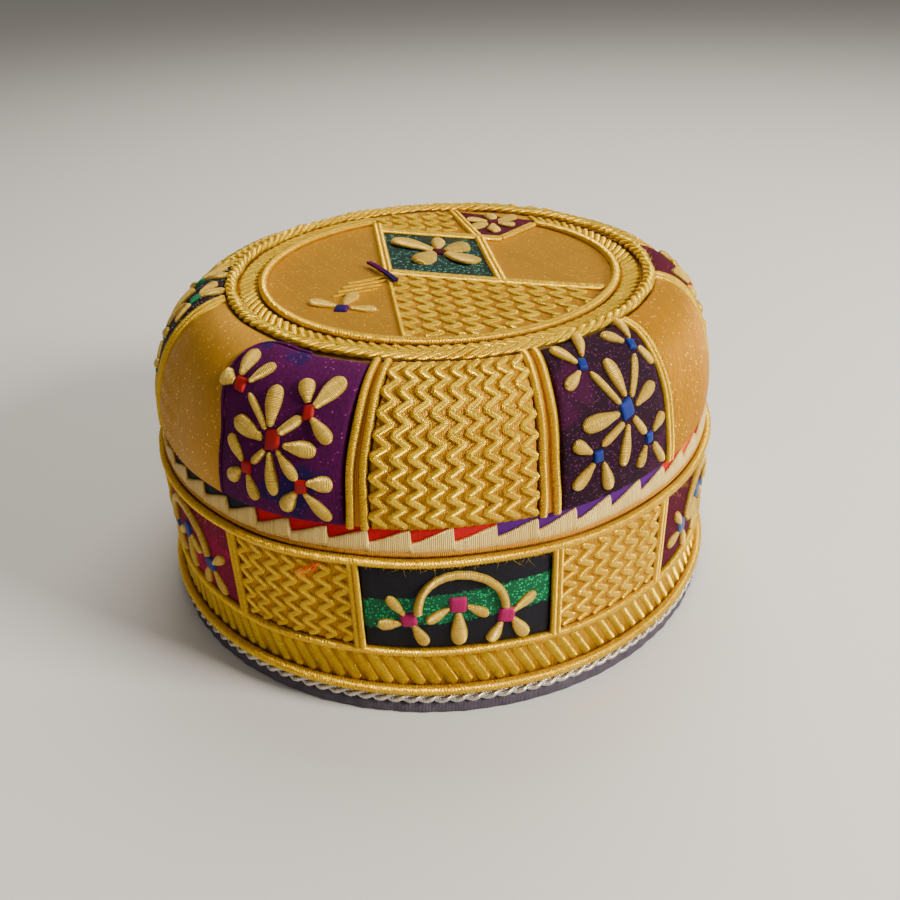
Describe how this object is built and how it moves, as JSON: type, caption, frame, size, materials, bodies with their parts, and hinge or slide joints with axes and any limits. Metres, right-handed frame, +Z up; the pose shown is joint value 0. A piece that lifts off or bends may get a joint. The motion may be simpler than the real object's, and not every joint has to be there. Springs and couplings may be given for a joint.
{
  "type": "traditional hat",
  "caption": "Stiff round folk cap: a banded side, a puffed crown and a flat top in padded flower embroidery, zigzag couching and satin cord, hollow below",
  "frame": {"origin": "centre of the rim's resting face, on the surface that the cap stands on", "axes": "-Y towards the front panel, +X to the right seen from the front, +Z up to the round top"},
  "size_m": [0.1894, 0.189, 0.1024],
  "materials": {
    "gold_cord": "satin_thread",
    "gold_satin": "satin_thread",
    "gold_zigzag": "couched_cord",
    "purple_velvet": "velvet",
    "green_velvet": "velvet",
    "cream_satin": "satin_stitch",
    "slate_cloth": "woven",
    "silver_cord": "metallic_thread",
    "backing_cloth": "woven"
  },
  "bodies": {
    "root": {"band_flower_1": "green_velvet", "band_flower_11": "green_velvet", "band_flower_3": "green_velvet", "band_flower_5": "green_velvet", "band_flower_7": "green_velvet", "band_flower_9": "green_velvet", "band_frame": "gold_cord", "band_wall": "backing_cloth", "band_zigzag_10": "gold_zigzag", "band_zigzag_12": "gold_zigzag", "band_zigzag_2": "gold_zigzag", "band_zigzag_4": "gold_zigzag", "band_zigzag_6": "gold_zigzag", "band_zigzag_8": "gold_zigzag", "crown_divider_1": "gold_cord", "crown_divider_10": "gold_cord", "crown_divider_11": "gold_cord", "crown_divider_12": "gold_cord", "crown_divider_2": "gold_cord", "crown_divider_3": "gold_cord", "crown_divider_4": "gold_cord", "crown_divider_5": "gold_cord", "crown_divider_6": "gold_cord", "crown_divider_7": "gold_cord", "crown_divider_8": "gold_cord", "crown_divider_9": "gold_cord", "crown_flower_10": "purple_velvet", "crown_flower_12": "purple_velvet", "crown_flower_2": "purple_velvet", "crown_flower_4": "purple_velvet", "crown_flower_6": "purple_velvet", "crown_flower_8": "purple_velvet", "crown_satin_11": "gold_satin", "crown_satin_3": "gold_satin", "crown_satin_7": "gold_satin", "crown_wall": "backing_cloth", "crown_zigzag_1": "gold_zigzag", "crown_zigzag_5": "gold_zigzag", "crown_zigzag_9": "gold_zigzag", "field_cord": "gold_cord", "hem_cord": "gold_cord", "rim_binding": "slate_cloth", "rim_twist": "silver_cord", "shoulder_braid": "gold_cord", "slant_border": "gold_zigzag", "tooth_border": "cream_satin", "top_braid": "gold_zigzag", "top_corner_back_left": "purple_velvet", "top_corner_back_right": "purple_velvet", "top_corner_front_left": "purple_velvet", "top_corner_front_right": "purple_velvet", "top_disc": "backing_cloth", "top_flower": "green_velvet", "top_lattice": "gold_cord", "top_satin_left": "gold_satin", "top_satin_right": "gold_satin", "top_zigzag_back": "gold_zigzag", "top_zigzag_front": "gold_zigzag"}
  },
  "joints": []
}
